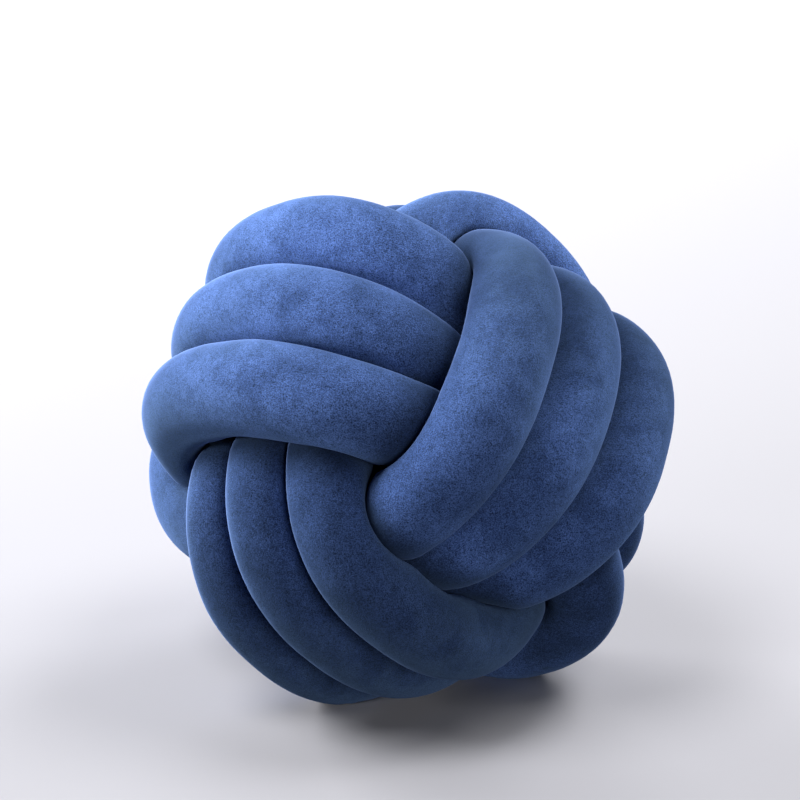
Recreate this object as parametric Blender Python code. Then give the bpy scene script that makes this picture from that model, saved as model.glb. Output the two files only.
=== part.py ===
# A knot cushion: one stuffed velvet tube tied as a ball of three bands, three turns side by side in each.
#
# The tube is one closed loop. Each band is wound three times round the ball, passing over one neighbouring
# band and under the other, and then carries on through the middle of the ball to become the next band.
# Lengths are in millimetres and angles in degrees, and the finished mesh is in metres, standing on Z = 0.

import math

import bpy
import numpy as np
from mathutils import Euler
from mathutils import Vector
from mathutils.geometry import interpolate_bezier

METRES_PER_MM = 0.001

# The stuffed tube.
TUBE_RADIUS = 22.5
TUBE_SIDES = 16
SECTION_SPACING = 17.0

# The even knot, measured from the ball's centre to the tube's centre line.
MIDDLE_TURN_HEIGHT = 113.5
OUTER_TURN_DROP = 3.5
TURN_SPACING = 45.0
TURN_REACH = 75.0
TURN_SQUARENESS = 2.5
TURN_LEAN = 0.05
OUTER_TURN_BOW = 2.0
HIDDEN_NARROWING = 0.66

# The axes that each band uses: out of the face, along the turns, and across them.
BAND_AXES = {"front": (1, 0, 2), "side": (0, 2, 1), "top": (2, 1, 0)}

# The turns of a band in the order that the tube runs through them: which face, and which lane.
TURN_ORDER = ((-1, -1), (1, -1), (-1, 0), (1, 0), (-1, 1), (1, 1))
FIRST_TURN_ANGLE = 180.0
TURN_STEP_ANGLE = 180.0
BAND_START_ANGLE = 115.0
BAND_END_ANGLE = 1145.0
BAND_ANGLE_STEP = 3.0
LANE_CHANGE_HALF_ANGLE = 45.0
TURN_CHANGE_HALF_ANGLE = 21.0

# How a turn departs from the even knot where the tube is pulled tighter, sits higher or has slipped aside.
# One row for each uneven turn: band, face and lane.
UNEVEN_COLUMNS = ("radius", "height", "offset", "lean", "bow", "shift", "reach")
UNEVEN_TURNS = {
    ("front", 1, -1): (0.5, 1.0, -2.0, 0.00, 0.5, 0.5, -0.5),
    ("front", 1, 0): (2.5, 0.0, 1.5, 0.08, -3.5, 0.0, 1.0),
    ("front", 1, 1): (1.5, 3.5, 0.5, 0.11, -5.0, -3.5, 2.0),
    ("front", -1, 0): (1.5, 1.5, 0.0, 0.01, 0.5, 2.5, 1.5),
    ("front", -1, 1): (1.5, 2.0, 0.0, -0.02, 0.5, 3.5, 2.5),
    ("side", 1, 1): (1.0, 1.0, -3.5, -0.06, 1.0, 8.0, 5.5),
    ("side", 1, 0): (0.0, -3.5, -2.0, -0.06, -0.5, -1.0, 8.0),
    ("side", 1, -1): (-0.5, 0.0, 0.5, -0.11, 0.0, -8.5, 1.5),
    ("side", -1, 1): (2.5, 0.5, 2.5, -0.01, -0.5, -3.5, -0.5),
    ("top", 1, 1): (-1.0, 3.0, -4.0, -0.10, 1.5, 3.5, -3.0),
    ("top", 1, 0): (-1.5, 0.5, -0.5, -0.02, -1.5, 4.0, 8.0),
    ("top", 1, -1): (-2.0, 0.0, -1.0, 0.02, 1.0, -0.5, 3.5),
    ("top", -1, 1): (-3.5, -0.5, 0.5, -0.04, 1.0, 0.5, 2.5),
}

# The stretch that carries the tube through the ball from one band to the next, in the band's own axes.
JOIN_MIDDLE = (-14.0, 32.0, 32.0)
JOIN_HALF_TANGENT = (-22.0, -17.0, 0.0)
JOIN_LEAVING_HANDLE = 30.0
JOIN_ARRIVING_HANDLE = 25.0
JOIN_STEPS = 10

# Turns that press on each other flatten to a narrow gap, wider where they cross, because a flat-sided mesh
# follows the saddle between two crossing tubes less closely. The higher the sharpness, the sharper the
# crease's edge. A stretch of the tube doesn't press on its own bend, and a turn holds back only the skin that
# faces it.
SIDE_BY_SIDE_GAP = 1.6
CROSSING_GAP = 3.6
PRESS_SAMPLE_SPACING = 6.0
PRESS_SHARPNESS = 12.0
OWN_STRETCH = 95.0
LEAST_FACING = 1e-6

# How the ball lies, and how deep its weight presses a flat spot into the underside.
BALL_TURN = (132.1, -23.6, -39.9)
FOOT_DEPTH = 9.0

VELVET_BLUE = (0.035, 0.085, 0.27, 1.0)
VELVET_ROUGHNESS = 0.9


def clear_scene():
    for old in list(bpy.data.objects):
        bpy.data.objects.remove(old)


def turn_sizes(band, face, lane):
    """The sizes of one turn: the even knot's, changed by the turn's row in the table."""
    row = UNEVEN_TURNS.get((band, face, lane), (0.0,) * len(UNEVEN_COLUMNS))
    change = dict(zip(UNEVEN_COLUMNS, row))
    return {
        "radius": TUBE_RADIUS + change["radius"],
        "height": MIDDLE_TURN_HEIGHT - OUTER_TURN_DROP * abs(lane) + change["height"],
        "offset": TURN_SPACING * lane + change["offset"],
        "lean": face * (TURN_LEAN + change["lean"]),
        "bow": OUTER_TURN_BOW * lane + change["bow"],
        "shift": change["shift"],
        "reach": TURN_REACH + change["reach"],
    }


def eased(values, angles, half_angle):
    """One value for each turn, changing smoothly from turn to turn on the hidden sides between them."""
    result = np.full(angles.shape, values[0])
    for step, (before, after) in enumerate(zip(values, values[1:])):
        change_angle = FIRST_TURN_ANGLE + TURN_STEP_ANGLE * (step + 0.5)
        progress = np.clip((angles - change_angle + half_angle) / (2 * half_angle), 0.0, 1.0)
        result += (after - before) * progress**2 * (3 - 2 * progress)
    return result


def band_route(band):
    """The centre line and radius of one band's three turns round the ball."""
    turns = [turn_sizes(band, face, lane) for face, lane in TURN_ORDER]
    count = round((BAND_END_ANGLE - BAND_START_ANGLE) / BAND_ANGLE_STEP) + 1
    angles = np.linspace(BAND_START_ANGLE, BAND_END_ANGLE, count)
    size = {
        name: eased([turn[name] for turn in turns], angles, TURN_CHANGE_HALF_ANGLE)
        for name in turns[0]
    }
    size["offset"] = eased([turn["offset"] for turn in turns], angles, LANE_CHANGE_HALF_ANGLE)

    # A rounded square, flattened over the faces, with its corners where the band dives under a neighbour.
    cosine = np.cos(np.radians(angles))
    sine = np.sin(np.radians(angles))
    rounding = (np.abs(cosine) ** TURN_SQUARENESS + np.abs(sine) ** TURN_SQUARENESS) ** (-1 / TURN_SQUARENESS)
    out = size["height"] * cosine * rounding
    along = size["reach"] * sine * rounding
    shown = np.clip(np.abs(out) / size["height"], 0.0, 1.0)
    bowed = size["bow"] * (1 - (along / size["reach"]) ** 2)
    across = size["offset"] * (HIDDEN_NARROWING + (1 - HIDDEN_NARROWING) * shown)
    across += (size["lean"] * along + bowed) * shown
    along += size["shift"] * shown

    points = np.empty((count, 3))
    points[:, BAND_AXES[band]] = np.stack([out, along, across], axis=1)
    radii = TUBE_RADIUS + (size["radius"] - TUBE_RADIUS) * shown
    return points, radii


def join_route(band, leaving, arriving):
    """The stretch through the ball from the end of one band to the start of the next."""
    middle = np.empty(3)
    half_tangent = np.empty(3)
    middle[list(BAND_AXES[band])] = JOIN_MIDDLE
    half_tangent[list(BAND_AXES[band])] = JOIN_HALF_TANGENT
    leaving_way = leaving[-1] - leaving[-2]
    arriving_way = arriving[1] - arriving[0]
    leaving_handle = leaving[-1] + leaving_way * JOIN_LEAVING_HANDLE / np.linalg.norm(leaving_way)
    arriving_handle = arriving[0] - arriving_way * JOIN_ARRIVING_HANDLE / np.linalg.norm(arriving_way)
    inward = (leaving[-1], leaving_handle, middle - half_tangent, middle)
    outward = (middle, middle + half_tangent, arriving_handle, arriving[0])
    inward_points = interpolate_bezier(*(Vector(point) for point in inward), JOIN_STEPS)
    outward_points = interpolate_bezier(*(Vector(point) for point in outward), JOIN_STEPS)
    return np.array(inward_points[1:] + outward_points[1:-1])


def tube_route():
    """The whole closed centre line with its radii: three bands and the three stretches that join them."""
    names = list(BAND_AXES)
    routes = {band: band_route(band) for band in names}
    points = []
    radii = []
    for band, following in zip(names, names[1:] + names[:1]):
        band_points, band_radii = routes[band]
        joining = join_route(band, band_points, routes[following][0])
        points += [band_points, joining]
        radii += [band_radii, np.full(len(joining), TUBE_RADIUS)]
    return np.concatenate(points), np.concatenate(radii)


def evenly_spaced(points, radii, spacing):
    """The closed route read again at even steps, with the distance along it of each point."""
    closed = np.vstack([points, points[:1]])
    travelled = np.append(0.0, np.cumsum(np.linalg.norm(np.diff(closed, axis=0), axis=1)))
    count = round(travelled[-1] / spacing)
    stations = np.arange(count) * travelled[-1] / count
    even = np.stack([np.interp(stations, travelled, closed[:, axis]) for axis in range(3)], axis=1)
    return even, np.interp(stations, travelled, np.append(radii, radii[0])), stations, travelled[-1]


def round_tube(name, points, radii):
    """The tube before it is pressed, as a mesh whose vertices run section by section."""
    curve = bpy.data.curves.new(name, "CURVE")
    curve.dimensions = "3D"
    curve.bevel_depth = 1.0
    curve.bevel_resolution = (TUBE_SIDES - 4) // 2
    spline = curve.splines.new("POLY")
    spline.points.add(len(points) - 1)
    spline.points.foreach_set("co", np.column_stack([points, np.ones(len(points))]).ravel())
    spline.points.foreach_set("radius", radii)
    spline.use_cyclic_u = True
    guide = bpy.data.objects.new(name + "_guide", curve)
    bpy.context.scene.collection.objects.link(guide)
    graph = bpy.context.evaluated_depsgraph_get()
    mesh = bpy.data.meshes.new_from_object(guide.evaluated_get(graph))
    bpy.data.objects.remove(guide)
    bpy.data.curves.remove(curve)
    return mesh


def tube_directions(centres):
    """The way that the closed tube runs at each point of its centre line."""
    ways = np.roll(centres, -1, axis=0) - np.roll(centres, 1, axis=0)
    return ways / np.linalg.norm(ways, axis=1)[:, None]


def pressed_lengths(spokes, centre, radius, others, other_radii, gaps):
    """How far the skin stands out along each spoke of a section, held back by the turns that it meets."""
    toward = others - centre
    distances = np.linalg.norm(toward, axis=1)
    halfway = (distances**2 + radius**2 - other_radii**2 - gaps * distances) / 2
    facing = spokes @ toward.T
    limits = np.where(facing > LEAST_FACING, halfway / np.maximum(facing, LEAST_FACING), np.inf)
    nearest = limits.min(axis=1)
    return (radius**-PRESS_SHARPNESS + nearest**-PRESS_SHARPNESS) ** (-1 / PRESS_SHARPNESS)


def press_turns(skin, route):
    """Flattens the tube wherever two turns touch, each giving way as far as the plane between them."""
    centres, radii, stations, length = evenly_spaced(*route, SECTION_SPACING)
    others, other_radii, other_stations, _ = evenly_spaced(*route, PRESS_SAMPLE_SPACING)
    ways = tube_directions(centres)
    other_ways = tube_directions(others)
    for section, centre in enumerate(centres):
        apart = np.abs(other_stations - stations[section])
        far = np.minimum(apart, length - apart) > OWN_STRETCH
        crossing = 1 - (other_ways[far] @ ways[section]) ** 2
        gaps = SIDE_BY_SIDE_GAP + (CROSSING_GAP - SIDE_BY_SIDE_GAP) * crossing
        ring = skin[section] - centre
        spokes = ring / np.linalg.norm(ring, axis=1)[:, None]
        lengths = pressed_lengths(spokes, centre, radii[section], others[far], other_radii[far], gaps)
        skin[section] = centre + spokes * lengths[:, None]
    return skin


def stand_on_floor(skin):
    """Turns the ball to how it lies, presses the flat spot, and centres the origin under it."""
    turn = np.array(Euler(tuple(math.radians(angle) for angle in BALL_TURN)).to_matrix())
    lying = skin @ turn.T
    lying[:, 2] -= lying[:, 2].min() + FOOT_DEPTH
    lying[:, 2] = np.maximum(lying[:, 2], 0.0)
    lying[:, :2] -= (lying[:, :2].max(axis=0) + lying[:, :2].min(axis=0)) / 2
    return lying


def velvet_material():
    material = bpy.data.materials.new("blue_velvet")
    material.use_nodes = True
    shader = material.node_tree.nodes["Principled BSDF"]
    shader.inputs["Base Color"].default_value = VELVET_BLUE
    shader.inputs["Roughness"].default_value = VELVET_ROUGHNESS
    shader.inputs["Metallic"].default_value = 0.0
    return material


def knotted_tube(collection):
    """The one piece of the cushion: the closed tube, tied, pressed together and set down."""
    route = tube_route()
    points, radii, _, _ = evenly_spaced(*route, SECTION_SPACING)
    mesh = round_tube("knotted_tube", points, radii)
    coordinates = np.empty(len(mesh.vertices) * 3)
    mesh.vertices.foreach_get("co", coordinates)
    skin = press_turns(coordinates.reshape(len(points), TUBE_SIDES, 3), route)
    standing = stand_on_floor(skin.reshape(-1, 3)) * METRES_PER_MM
    mesh.vertices.foreach_set("co", standing.ravel())
    mesh.update()
    mesh.shade_smooth()
    mesh.materials.clear()
    mesh.materials.append(velvet_material())
    tube = bpy.data.objects.new("knotted_tube", mesh)
    collection.objects.link(tube)
    return tube


def main():
    clear_scene()
    collection = bpy.data.collections.new("knot_cushion")
    bpy.context.scene.collection.children.link(collection)
    knotted_tube(collection)


main()
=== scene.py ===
import math

import bpy
import numpy as np
from mathutils import Euler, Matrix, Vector, noise
from mathutils.geometry import interpolate_bezier


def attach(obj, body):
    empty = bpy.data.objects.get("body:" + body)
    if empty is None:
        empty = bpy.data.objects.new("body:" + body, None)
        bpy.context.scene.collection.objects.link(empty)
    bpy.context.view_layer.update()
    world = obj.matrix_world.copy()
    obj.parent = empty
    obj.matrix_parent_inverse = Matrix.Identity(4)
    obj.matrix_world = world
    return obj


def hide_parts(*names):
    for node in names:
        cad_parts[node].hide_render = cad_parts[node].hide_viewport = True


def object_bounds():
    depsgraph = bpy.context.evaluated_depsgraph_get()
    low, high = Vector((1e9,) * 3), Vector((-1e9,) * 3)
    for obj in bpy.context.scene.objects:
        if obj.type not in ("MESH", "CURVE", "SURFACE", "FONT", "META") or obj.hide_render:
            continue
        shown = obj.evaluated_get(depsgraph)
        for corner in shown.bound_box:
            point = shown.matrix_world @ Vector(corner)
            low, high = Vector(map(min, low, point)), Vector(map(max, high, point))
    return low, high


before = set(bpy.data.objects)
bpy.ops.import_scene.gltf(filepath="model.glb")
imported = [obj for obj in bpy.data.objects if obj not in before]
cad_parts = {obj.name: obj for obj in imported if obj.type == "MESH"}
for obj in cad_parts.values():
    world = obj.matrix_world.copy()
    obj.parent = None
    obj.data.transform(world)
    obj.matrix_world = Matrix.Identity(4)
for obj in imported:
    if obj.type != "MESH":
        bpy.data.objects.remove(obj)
cadBox = [list(corner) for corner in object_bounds()]
mm = 0.001
print("frame loaded, CAD box", cadBox)


# Node trees are written with two small classes: a Wire is an output socket, a Graph adds the nodes.


class Wire:
    # takes part in sums as a number would
    def __init__(self, graph, socket):
        self.graph = graph
        self.socket = socket

    def combine(self, operation, first, second):
        values = {0: first, 1: second}
        return self.graph.node("ShaderNodeMath", {"operation": operation}, values)

    def __add__(self, other):
        return self.combine("ADD", self, other)

    def __radd__(self, other):
        return self.combine("ADD", other, self)

    def __sub__(self, other):
        return self.combine("SUBTRACT", self, other)

    def __rsub__(self, other):
        return self.combine("SUBTRACT", other, self)

    def __mul__(self, other):
        return self.combine("MULTIPLY", self, other)

    def __rmul__(self, other):
        return self.combine("MULTIPLY", other, self)

    def __pow__(self, other):
        return self.combine("POWER", self, other)

    def atLeast(self, floor):
        return self.combine("MAXIMUM", self, floor)


class Graph:
    # node() is the one way to add a node
    def __init__(self, tree):
        self.tree = tree

    def node(self, kind, settings=None, inputs=None, output=0):
        made = self.tree.nodes.new(kind)
        for name, value in (settings or {}).items():
            if name == "stops":
                self.setStops(made.color_ramp, value)
            else:
                setattr(made, name, value)
        for name, value in (inputs or {}).items():
            if isinstance(value, Wire):
                self.tree.links.new(value.socket, made.inputs[name])
            else:
                made.inputs[name].default_value = value
        if not made.outputs:
            return made
        return Wire(self, made.outputs[output])

    def setStops(self, ramp, stops):
        while len(ramp.elements) < len(stops):
            ramp.elements.new(1.0)
        for element, (place, grey) in zip(ramp.elements, stops):
            element.position = place
            element.color = (grey, grey, grey, 1.0)

    def mixColour(self, factor, first, second, blend="MIX"):
        # sockets 0, 6 and 7 of a colour Mix node are its factor and its two colours
        settings = {"data_type": "RGBA", "blend_type": blend}
        return self.node("ShaderNodeMix", settings, {0: factor, 6: first, 7: second}, output=2)


# The tube runs round the ball as three bands of three turns, square to each other, and closes on itself.

tube = {
    "radius": 22.5,  # mm, as are the other lengths here
    "sides": 48,
    "sectionSpacing": 4.2,
    "bandAngles": (115, 1145, 344),  # where a band starts and ends, in degrees round the ball, and its points
    "turnChange": 21,  # degrees either side of a corner in which one turn's sizes become the next's
    "offsetChange": 45,
    "middleTurnHeight": 113.5,
    "outerTurnDrop": 3.5,
    "turnSpacing": 45.0,
    "turnReach": 75.0,
    "turnSquareness": 2.5,
    "turnLean": 0.05,
    "outerTurnBow": 2.0,
    "hiddenNarrowing": 0.66,
    "joinMiddle": (-14.0, 32.0, 32.0),
    "joinHalfTangent": (-22.0, -17.0, 0.0),
    "joinHandles": (30.0, 25.0),
    "joinPoints": 20,
    "ballTurn": (132.1, -23.6, -39.9),  # degrees
    "gap": 0.5,  # between turns that press on each other
    "pressSpacing": 3.0,  # how finely the turns that press are sampled
    "pressReach": 60.0,  # how near another turn's middle has to be to press
    "pressSharpness": 13.0,  # the higher, the harder the edge of a pressed flat
    "ownStretch": 95.0,  # a turn isn't pressed by its own next stretch
    "creaseShadeReach": 1.0,  # of the radius: how near a turn lying over it must be for painted shade in the crease
    "tuckHeight": 10.0,
    "lumps": ((42.0, 0.02), (15.0, 0.006)),  # how wide, and what share of the radius they add or take
    "fill": 0.9,
}
# band: the axes out of its face, along its turns and across them
bandAxes = {"front": (1, 0, 2), "side": (0, 2, 1), "top": (2, 1, 0)}
turnOrder = ((-1, -1), (1, -1), (-1, 0), (1, 0), (-1, 1), (1, 1))  # (face, lane), as the tube runs
# how each uneven turn (band, face, lane) departs from the even knot
unevenColumns = ("radius", "height", "offset", "lean", "bow", "shift", "reach")
unevenTurns = {
    ("front", 1, -1): (0.5, 1.0, -2.0, 0.00, 0.5, 0.5, -0.5),
    ("front", 1, 0): (2.5, 0.0, 1.5, 0.08, -3.5, 0.0, 1.0),
    ("front", 1, 1): (1.5, 3.5, 0.5, 0.11, -5.0, -3.5, 2.0),
    ("front", -1, 0): (1.5, 1.5, 0.0, 0.01, 0.5, 2.5, 1.5),
    ("front", -1, 1): (1.5, 2.0, 0.0, -0.02, 0.5, 3.5, 2.5),
    ("side", 1, 1): (1.0, 1.0, -3.5, -0.06, 1.0, 8.0, 5.5),
    ("side", 1, 0): (0.0, -3.5, -2.0, -0.06, -0.5, -1.0, 8.0),
    ("side", 1, -1): (-0.5, 0.0, 0.5, -0.11, 0.0, -8.5, 1.5),
    ("side", -1, 1): (2.5, 0.5, 2.5, -0.01, -0.5, -3.5, -0.5),
    ("top", 1, 1): (-1.0, 3.0, -4.0, -0.10, 1.5, 3.5, -3.0),
    ("top", 1, 0): (-1.5, 0.5, -0.5, -0.02, -1.5, 4.0, 8.0),
    ("top", 1, -1): (-2.0, 0.0, -1.0, 0.02, 1.0, -0.5, 3.5),
    ("top", -1, 1): (-3.5, -0.5, 0.5, -0.04, 1.0, 0.5, 2.5),
}
# a turn's painted light and shade beside the others: how much lighter or darker its colour is painted, and
# which way its pile lies (1 is back along the tube)
turnPaintedShadeAndComb = {
    ("front", 1, -1): (1.34, 1),
    ("front", 1, 0): (1.15, 1),
    ("front", 1, 1): (0.94, 1),
    ("side", 1, 0): (1.14, 1),
    ("side", 1, 1): (0.96, 1),
    ("side", -1, 1): (1.0, -1),
    ("top", 1, -1): (0.88, 1),
    ("top", 1, 0): (0.9, 1),
    ("top", 1, 1): (0.84, 1),
    ("top", -1, 1): (2.5, -1),
}
# painted light and shade: how much lighter the colour is painted along each turn
paintedShadeAlong = {"front": 0.3, "side": 0.43, "top": 0.12}


def turnSizes(band, face, lane):
    row = unevenTurns.get((band, face, lane), (0.0,) * len(unevenColumns))
    change = dict(zip(unevenColumns, row))
    shade, comb = turnPaintedShadeAndComb.get((band, face, lane), (1.0, 1.0))
    return {
        "radius": tube["radius"] + change["radius"],
        "height": tube["middleTurnHeight"] - tube["outerTurnDrop"] * abs(lane) + change["height"],
        "offset": tube["turnSpacing"] * lane + change["offset"],
        "lean": face * (tube["turnLean"] + change["lean"]),
        "bow": tube["outerTurnBow"] * lane + change["bow"],
        "shift": change["shift"],
        "reach": tube["turnReach"] + change["reach"],
        "shade": shade,
        "comb": comb,
    }


def eased(values, angles, halfAngle):
    # one value a turn, changing smoothly on the hidden side between two turns
    result = np.full(angles.shape, values[0])
    for step, (before, after) in enumerate(zip(values, values[1:])):
        corner = 270 + 180 * step
        progress = np.clip((angles - corner + halfAngle) / (2 * halfAngle), 0, 1)
        result += (after - before) * progress**2 * (3 - 2 * progress)
    return result


def bandRoute(band):
    # three turns of a rounded square, flattened over the two faces
    # a route's columns: place (0 to 2), radius (3), painted light and shade (4) and comb (5)
    turns = [turnSizes(band, face, lane) for face, lane in turnOrder]
    angles = np.linspace(*tube["bandAngles"])
    size = {name: eased([turn[name] for turn in turns], angles, tube["turnChange"]) for name in turns[0]}
    size["offset"] = eased([turn["offset"] for turn in turns], angles, tube["offsetChange"])
    cosine, sine = np.cos(np.radians(angles)), np.sin(np.radians(angles))
    power = tube["turnSquareness"]
    rounding = (np.abs(cosine) ** power + np.abs(sine) ** power) ** (-1 / power)
    out = size["height"] * cosine * rounding
    along = size["reach"] * sine * rounding
    shown = np.clip(np.abs(out) / size["height"], 0, 1)
    bowed = size["bow"] * (1 - (along / size["reach"]) ** 2)
    narrowing = tube["hiddenNarrowing"]
    across = size["offset"] * (narrowing + (1 - narrowing) * shown)
    across += (size["lean"] * along + bowed) * shown
    along += size["shift"] * shown
    route = np.empty((len(angles), 6))
    route[:, bandAxes[band]] = np.stack([out, along, across], axis=1)
    route[:, 3] = tube["radius"] + (size["radius"] - tube["radius"]) * shown
    # painted light and shade: each turn's colour lighter or darker, and lighter along it
    route[:, 4] = 1 + (size["shade"] - 1) * shown + paintedShadeAlong[band] * np.sin(np.radians(2 * angles))
    route[:, 5] = size["comb"]
    return route


def joinRoute(band, leaving, arriving):
    # through the middle of the ball, from the end of one band to the start of the next
    middle, halfTangent = np.empty(3), np.empty(3)
    middle[list(bandAxes[band])] = tube["joinMiddle"]
    halfTangent[list(bandAxes[band])] = tube["joinHalfTangent"]
    leavingWay = (leaving[-1] - leaving[-2]) / np.linalg.norm(leaving[-1] - leaving[-2])
    arrivingWay = (arriving[1] - arriving[0]) / np.linalg.norm(arriving[1] - arriving[0])
    leavingHandle = leaving[-1] + leavingWay * tube["joinHandles"][0]
    arrivingHandle = arriving[0] - arrivingWay * tube["joinHandles"][1]
    inward = (leaving[-1], leavingHandle, middle - halfTangent, middle)
    outward = (middle, middle + halfTangent, arrivingHandle, arriving[0])
    inwardPoints = interpolate_bezier(*map(Vector, inward), tube["joinPoints"])
    outwardPoints = interpolate_bezier(*map(Vector, outward), tube["joinPoints"])
    points = np.array(inwardPoints[1:] + outwardPoints[1:-1])
    plain = np.tile([tube["radius"], 1.0, 1.0], (len(points), 1))
    return np.hstack([points, plain])


def tubeRoute():
    names = list(bandAxes)
    routes = {band: bandRoute(band) for band in names}
    pieces = []
    for band, following in zip(names, names[1:] + names[:1]):
        pieces += [routes[band], joinRoute(band, routes[band][:, :3], routes[following][:, :3])]
    return np.concatenate(pieces)


def evenlySpaced(route, spacing):
    closed = np.vstack([route, route[:1]])
    steps = np.linalg.norm(np.diff(closed[:, :3], axis=0), axis=1)
    travelled = np.append(0, np.cumsum(steps))
    count = round(travelled[-1] / spacing)
    stations = np.arange(count) * travelled[-1] / count
    even = np.stack([np.interp(stations, travelled, column) for column in closed.T], axis=1)
    return even, stations, travelled[-1]


def sweepTree(material):
    # the tube round its centre line, as wide as each point's radius
    tree = bpy.data.node_groups.new("tubeSweep", "GeometryNodeTree")
    tree.interface.new_socket("Geometry", in_out="INPUT", socket_type="NodeSocketGeometry")
    tree.interface.new_socket("Sides", in_out="INPUT", socket_type="NodeSocketInt")
    tree.interface.new_socket("Geometry", in_out="OUTPUT", socket_type="NodeSocketGeometry")
    graph = Graph(tree)
    path = graph.node("NodeGroupInput")
    sides = Wire(graph, path.socket.node.outputs["Sides"])
    ring = graph.node("GeometryNodeCurvePrimitiveCircle", None, {"Resolution": sides, "Radius": 1.0})
    radius = graph.node("GeometryNodeInputRadius")
    rings = {"Curve": path, "Profile Curve": ring, "Scale": radius}
    swept = graph.node("GeometryNodeCurveToMesh", None, rings)
    smooth = graph.node("GeometryNodeSetShadeSmooth", None, {0: swept})
    real = graph.node("GeometryNodeRealizeInstances", None, {0: smooth})
    dressed = graph.node("GeometryNodeSetMaterial", None, {"Geometry": real, "Material": material})
    graph.node("NodeGroupOutput", None, {0: dressed})
    return tree


def setInput(modifier, name, value):
    for item in modifier.node_group.interface.items_tree:
        if item.item_type == "SOCKET" and item.in_out == "INPUT" and item.name == name:
            modifier[item.identifier] = value


def sweptTube(points, radii, material):
    line = bpy.data.curves.new("tubeLine", "CURVE")
    line.dimensions = "3D"
    spline = line.splines.new("POLY")
    spline.points.add(len(points) - 1)
    spline.points.foreach_set("co", np.column_stack([points, np.ones(len(points))]).ravel())
    spline.points.foreach_set("radius", radii)
    spline.use_cyclic_u = True
    guide = bpy.data.objects.new("tubeLine", line)
    bpy.context.scene.collection.objects.link(guide)
    sweep = guide.modifiers.new("sweep", "NODES")
    sweep.node_group = sweepTree(material)
    setInput(sweep, "Sides", tube["sides"])
    evaluated = guide.evaluated_get(bpy.context.evaluated_depsgraph_get())
    mesh = bpy.data.meshes.new_from_object(evaluated)
    bpy.data.objects.remove(guide)
    return mesh


def lumpy(points):
    # the filling's soft lumps, as a share of the radius at each point
    share = np.zeros(len(points))
    for width, depth in tube["lumps"]:
        share += [depth * noise.noise(Vector(point) / width) for point in points]
    return share


def travelWays(points):
    ways = np.roll(points, -1, axis=0) - np.roll(points, 1, axis=0)
    return ways / np.linalg.norm(ways, axis=1)[:, None]


def pressTurns(skin, route):
    # turns that touch flatten against each other, down to the plane between them
    even, stations, length = evenlySpaced(route, tube["sectionSpacing"])
    others, otherStations, _ = evenlySpaced(route, tube["pressSpacing"])
    ways, otherWays = travelWays(even[:, :3]), travelWays(others[:, :3])
    otherHeights = np.linalg.norm(others[:, :3], axis=1)
    sharpness, creaseShadeReach = tube["pressSharpness"], tube["creaseShadeReach"]
    creaseShadeMask = np.zeros(skin.shape[:2])
    for section, (centre, radius) in enumerate(zip(even[:, :3], even[:, 3])):
        apart = np.abs(otherStations - stations[section])
        far = np.minimum(apart, length - apart) > tube["ownStretch"]
        far[far] = np.linalg.norm(others[far, :3] - centre, axis=1) < tube["pressReach"]
        toward = others[far, :3] - centre
        distances = np.linalg.norm(toward, axis=1)
        halfway = (distances**2 + radius**2 - others[far, 3] ** 2 - tube["gap"] * distances) / 2
        ring = skin[section] - centre
        spokes = ring / np.linalg.norm(ring, axis=1)[:, None]
        # how far each spoke may reach before it meets the plane to each other turn
        facing = spokes @ toward.T
        limits = np.where(facing > 1e-6, halfway / np.maximum(facing, 1e-6), np.inf)
        free = radius * (1 + lumpy(skin[section]))
        nearest = limits.min(axis=1)
        lengths = (free**-sharpness + nearest**-sharpness) ** (-1 / sharpness)
        skin[section] = centre + spokes * lengths[:, None]
        # painted shade in the crease: how close it lies under a turn that crosses this one further out
        crossing = np.clip(2 - 2 * np.abs(otherWays[far] @ ways[section]), 0, 1)
        above = np.clip((otherHeights[far] - np.linalg.norm(centre)) / tube["tuckHeight"], 0, 1)
        closeness = np.clip((1 + creaseShadeReach - limits / free[:, None]) / creaseShadeReach, 0, 1)
        creaseShadeMask[section] = (closeness * crossing * above).max(axis=1)
    return skin, creaseShadeMask


def turned(rows):
    # from the knot's own axes to how the ball lies
    turn = np.array(Euler([math.radians(angle) for angle in tube["ballTurn"]]).to_matrix())
    return rows @ turn.T


def lieDown(skin):
    # set into the CAD box and flattened where it meets the floor
    lying = turned(skin) * mm
    low, high = lying.min(axis=0), lying.max(axis=0)
    middle = (np.array(cadBox[0]) + np.array(cadBox[1])) / 2
    shift = middle - (low + high) / 2
    shift[2] = cadBox[1][2] - high[2]
    lying += shift
    lying[:, 2] = np.maximum(lying[:, 2], 0)
    return lying, Vector(shift)  # the knot's own origin is the ball's centre


def notePile(mesh, even, creaseShadeMask):
    # at each vertex: which way the pile leans, its turn's painted light and shade, and the painted shade in
    # the crease under a crossing turn
    ways = turned(-travelWays(even[:, :3])) * even[:, 5:]
    pileWay = mesh.attributes.new("pileWay", "FLOAT_VECTOR", "POINT")
    pileWay.data.foreach_set("vector", np.repeat(ways, tube["sides"], axis=0).ravel())
    pileShade = mesh.attributes.new("pileShade", "FLOAT", "POINT")
    pileShade.data.foreach_set("value", np.repeat(even[:, 4], tube["sides"]))
    pileTuck = mesh.attributes.new("pileTuck", "FLOAT", "POINT")
    pileTuck.data.foreach_set("value", creaseShadeMask.ravel())


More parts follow.
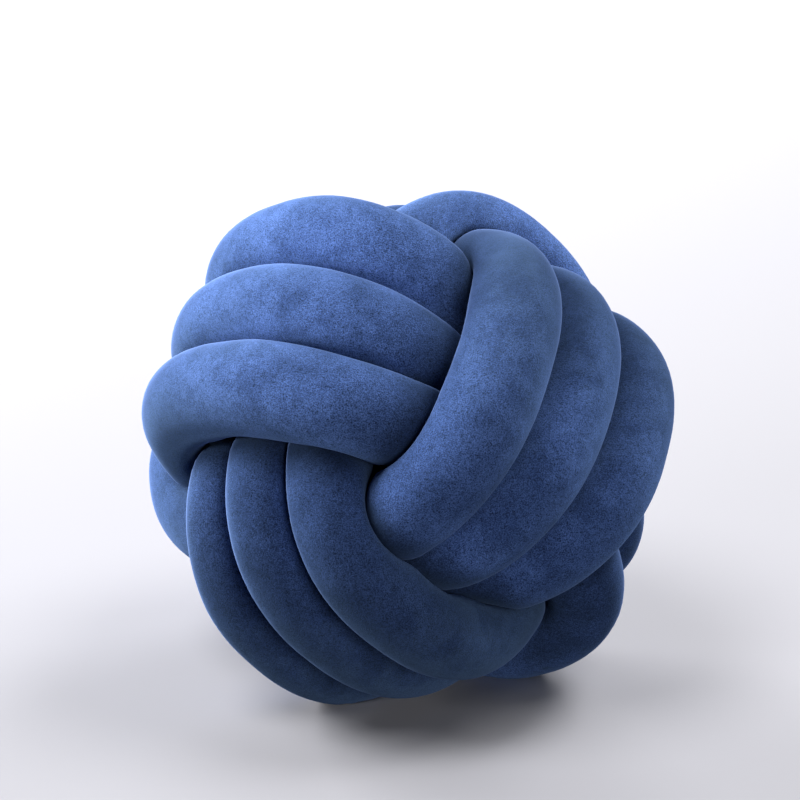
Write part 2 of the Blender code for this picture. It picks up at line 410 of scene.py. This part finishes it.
def buildTube(material):
    route = tubeRoute()
    even, _, length = evenlySpaced(route, tube["sectionSpacing"])
    mesh = sweptTube(even[:, :3], even[:, 3], material)
    skin = np.empty(len(mesh.vertices) * 3)
    mesh.vertices.foreach_get("co", skin)
    skin, creaseShadeMask = pressTurns(skin.reshape(len(even), tube["sides"], 3), route)
    notePile(mesh, even, creaseShadeMask)
    lying, ballCentre = lieDown(skin.reshape(-1, 3))
    mesh.vertices.foreach_set("co", lying.ravel())
    mesh.update()
    piece = bpy.data.objects.new("velvetTube", mesh)
    bpy.context.scene.collection.objects.link(piece)
    print("tube made:", round(length), "mm long,", len(mesh.polygons), "faces")
    return piece, ballCentre


# The velvet's short pile is brushed light and dark, leans back along the tube and glows at its edges. Its
# colour also holds painted light and shade per turn and painted shade in the creases.

velvet = {
    "deepBlue": (0.010, 0.021, 0.072, 1.0),
    "midBlue": (0.063, 0.115, 0.314, 1.0),
    "sheenBlue": (0.34, 0.58, 1.0, 1.0),
    "sheenWeight": 0.24,
    "sheenRoughness": 0.7,
    "roughness": 0.95,
    "fuzzBlue": (0.24, 0.37, 0.78, 1.0),
    "fuzzShare": 0.85,
    "fuzzNarrowness": 8.0,
    "pileLean": 0.4,
    "pileUnrest": 0.3,
    # how much the painted shade in the creases under crossing turns darkens the colour
    "creaseShadeStrength": 0.8,
    "leastBrushed": 0.24,  # 0 is all deepBlue, 1 all midBlue
    # each pattern: size in metres, detail, roughness and distortion
    "blotch": (0.035, 3.0, 0.55, 0.6),
    "blotchEdges": (0.35, 0.65),
    "blotchShare": 0.32,
    "mark": (0.013, 2.0, 0.5, 0.4),
    "markEdges": (0.38, 0.62),
    "markShare": 0.18,
    "nap": (0.0024, 1.0, 0.5, 0.8),
    "napContrast": 0.9,
    "grain": (0.0006, 1.0, 0.6, 0.0),
    "grainContrast": 3.6,
    "grainDepth": 0.0004,  # metres
    "grainStrength": 0.8,
    "leastSpeckle": 0.1,
}


def velvetMaterial():
    material = bpy.data.materials.new("blueVelvet")
    material.use_nodes = True
    tree = material.node_tree
    tree.nodes.clear()
    graph = Graph(tree)
    place = graph.node("ShaderNodeTexCoord", output="Object")

    def mottle(name):
        size, detail, roughness, distortion = velvet[name]
        return graph.node(
            "ShaderNodeTexNoise", None,
            {
                "Vector": place,
                "Scale": 1 / size,
                "Detail": detail,
                "Roughness": roughness,
                "Distortion": distortion,
            },
        )

    def mask(pattern, edges):
        stops = ((edges[0], 0.0), (edges[1], 1.0))
        return graph.node("ShaderNodeValToRGB", {"stops": stops}, {0: pattern})

    def noted(name, output):
        return graph.node("ShaderNodeAttribute", {"attribute_name": name}, output=output)

    # brushed colour: wide blotches, smaller marks, and the speckle of nap and grain
    blotch = mask(mottle("blotch"), velvet["blotchEdges"])
    mark = mask(mottle("mark"), velvet["markEdges"])
    nap, grain = mottle("nap"), mottle("grain")
    brushed = velvet["leastBrushed"] + velvet["blotchShare"] * blotch + velvet["markShare"] * mark
    base = graph.mixColour(brushed, velvet["deepBlue"], velvet["midBlue"])
    speckle = 1 + velvet["grainContrast"] * (grain - 0.5) + velvet["napContrast"] * (nap - 0.5)
    # painted shade: the colour darkens in the creases under crossing turns
    tuck = velvet["creaseShadeStrength"] * noted("pileTuck", "Fac")
    # painted light and shade per turn, times the speckle of nap and grain
    shade = noted("pileShade", "Fac") * speckle.atLeast(velvet["leastSpeckle"]) * (1 - tuck)
    tinted = graph.mixColour(1.0, base, shade, "MULTIPLY")

    # the pile leans back along the tube, more or less so by mark
    lean = velvet["pileLean"] + velvet["pileUnrest"] * (mark - 0.5)
    leaning = graph.node(
        "ShaderNodeVectorMath", {"operation": "SCALE"}, {0: noted("pileWay", "Vector"), "Scale": lean}
    )
    upright = graph.node("ShaderNodeNewGeometry", output="Normal")
    tilted = graph.node("ShaderNodeVectorMath", {"operation": "ADD"}, {0: upright, 1: leaning})
    combed = graph.node("ShaderNodeVectorMath", {"operation": "NORMALIZE"}, {0: tilted})
    bump = graph.node(
        "ShaderNodeBump", None,
        {
            "Height": grain,
            "Distance": velvet["grainDepth"],
            "Strength": velvet["grainStrength"],
            "Normal": combed,
        },
    )
    shader = graph.node(
        "ShaderNodeBsdfPrincipled", None,
        {
            "Base Color": tinted,
            "Roughness": velvet["roughness"],
            "Normal": bump,
            "Specular IOR Level": 0.0,
            "Sheen Weight": velvet["sheenWeight"],
            "Sheen Roughness": velvet["sheenRoughness"],
            "Sheen Tint": velvet["sheenBlue"],
        },
    )

    # pale fuzz where the pile is seen from the side
    facing = graph.node("ShaderNodeLayerWeight", None, {"Blend": 0.5}, output="Facing")
    fuzz = graph.node(
        "ShaderNodeBsdfPrincipled", None,
        {"Base Color": velvet["fuzzBlue"], "Roughness": 1.0, "Specular IOR Level": 0.0},
    )
    rim = velvet["fuzzShare"] * facing ** velvet["fuzzNarrowness"]
    edged = graph.node("ShaderNodeMixShader", None, {0: rim, 1: shader, 2: fuzz})
    graph.node("ShaderNodeOutputMaterial", None, {"Surface": edged})
    print("velvet made:", len(tree.nodes), "nodes")
    return material


piece, ballCentre = buildTube(velvetMaterial())
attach(piece, "root")
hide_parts("knotted_tube")


# A plain studio: the ball has its own soft lamps and the floor has others, so each can be set alone.

studio = {
    "floorSize": 14.0,  # metres
    "floorColour": (0.60, 0.595, 0.64, 1.0),
    "floorRoughness": 0.9,
    "skyColour": (1.0, 1.0, 1.0, 1.0),
    "skyStrength": 0.02,
    "cameraDistance": 1.3,
    "cameraElevation": 18.0,  # degrees
    "aimRight": -0.0032,
    "aimUp": 0.0235,
    "lens": 112.4,
}
# name: (degrees round from the camera's side, degrees up, distance, width, watts, what it spares)
lights = {
    "backLeft": (226, 8, 3.2, 1.6, 225.0, "floor"),
    "leftKey": (268, 38, 3.2, 1.6, 106.0, "floor"),
    "lowLeft": (276, 4, 3.2, 0.8, 60.0, "floor"),
    "backRight": (130, 11, 3.2, 1.6, 58.0, "floor"),
    "highRight": (120, 54, 3.2, 1.6, 48.0, "floor"),
    "ceiling": (290, 70, 3.2, 1.6, 26.0, "floor"),
    "lowFront": (24, 9, 3.2, 1.6, 37.0, "floor"),
    "floorBack": (180, 9, 5.0, 2.5, 165.0, "ball"),
    "floorBackLeft": (225, 12, 3.2, 1.6, 139.0, "ball"),
    "floorFrontLeft": (315, 10, 5.0, 2.5, 105.0, "ball"),
    "floorRight": (135, 40, 5.0, 2.5, 70.0, "ball"),
    "floorTopLeft": (312, 60, 5.0, 2.5, 115.0, "ball"),
    "floorTopRight": (80, 62, 5.0, 2.5, 90.0, "ball"),
}


def buildFloor():
    half = studio["floorSize"] / 2
    mesh = bpy.data.meshes.new("paleFloor")
    corners = [(-half, -half, 0), (half, -half, 0), (half, half, 0), (-half, half, 0)]
    mesh.from_pydata(corners, [], [(0, 1, 2, 3)])
    material = bpy.data.materials.new("paleFloor")
    material.use_nodes = True
    shader = material.node_tree.nodes["Principled BSDF"]
    shader.inputs["Base Color"].default_value = studio["floorColour"]
    shader.inputs["Roughness"].default_value = studio["floorRoughness"]
    mesh.materials.append(material)
    floor = bpy.data.objects.new("paleFloor", mesh)
    floor.visible_diffuse = False  # the floor throws no light back on the ball
    bpy.context.scene.collection.objects.link(floor)
    return floor


def spare(lamp, thing):
    # the lamp lights everything but this thing
    unlit = bpy.data.collections.new(lamp.name + "Spares")
    unlit.objects.link(thing)
    lamp.light_linking.receiver_collection = unlit
    unlit.collection_objects[0].light_linking.link_state = "EXCLUDE"


def buildLights(floor):
    things = {"floor": floor, "ball": piece}
    for name, (around, up, distance, width, watts, spared) in lights.items():
        light = bpy.data.lights.new(name, "AREA")
        light.shape = "DISK"
        light.size = width
        light.energy = watts
        lamp = bpy.data.objects.new(name, light)
        around, up = math.radians(around), math.radians(up)
        way = Vector((math.sin(around) * math.cos(up), -math.cos(around) * math.cos(up), math.sin(up)))
        lamp.location = ballCentre + way * distance
        lamp.rotation_euler = (-way).to_track_quat("-Z", "Y").to_euler()
        lamp.visible_camera = False
        bpy.context.scene.collection.objects.link(lamp)
        spare(lamp, things[spared])
    world = bpy.data.worlds.new("softSky")
    world.use_nodes = True
    background = world.node_tree.nodes["Background"]
    background.inputs["Color"].default_value = studio["skyColour"]
    background.inputs["Strength"].default_value = studio["skyStrength"]
    bpy.context.scene.world = world


def buildCamera():
    elevation = math.radians(studio["cameraElevation"])
    back = Vector((0, -math.cos(elevation), math.sin(elevation)))
    up = Vector((0, math.sin(elevation), math.cos(elevation)))
    camera = bpy.data.cameras.new("camera")
    camera.lens = studio["lens"]
    eye = bpy.data.objects.new("camera", camera)
    eye.location = ballCentre + back * studio["cameraDistance"]
    aim = ballCentre + Vector((studio["aimRight"], 0, 0)) + up * studio["aimUp"]
    eye.rotation_euler = (aim - eye.location).to_track_quat("-Z", "Y").to_euler()
    bpy.context.scene.collection.objects.link(eye)
    bpy.context.scene.camera = eye


buildLights(buildFloor())
buildCamera()
bpy.context.scene.view_settings.view_transform = "Standard"
print("studio set")
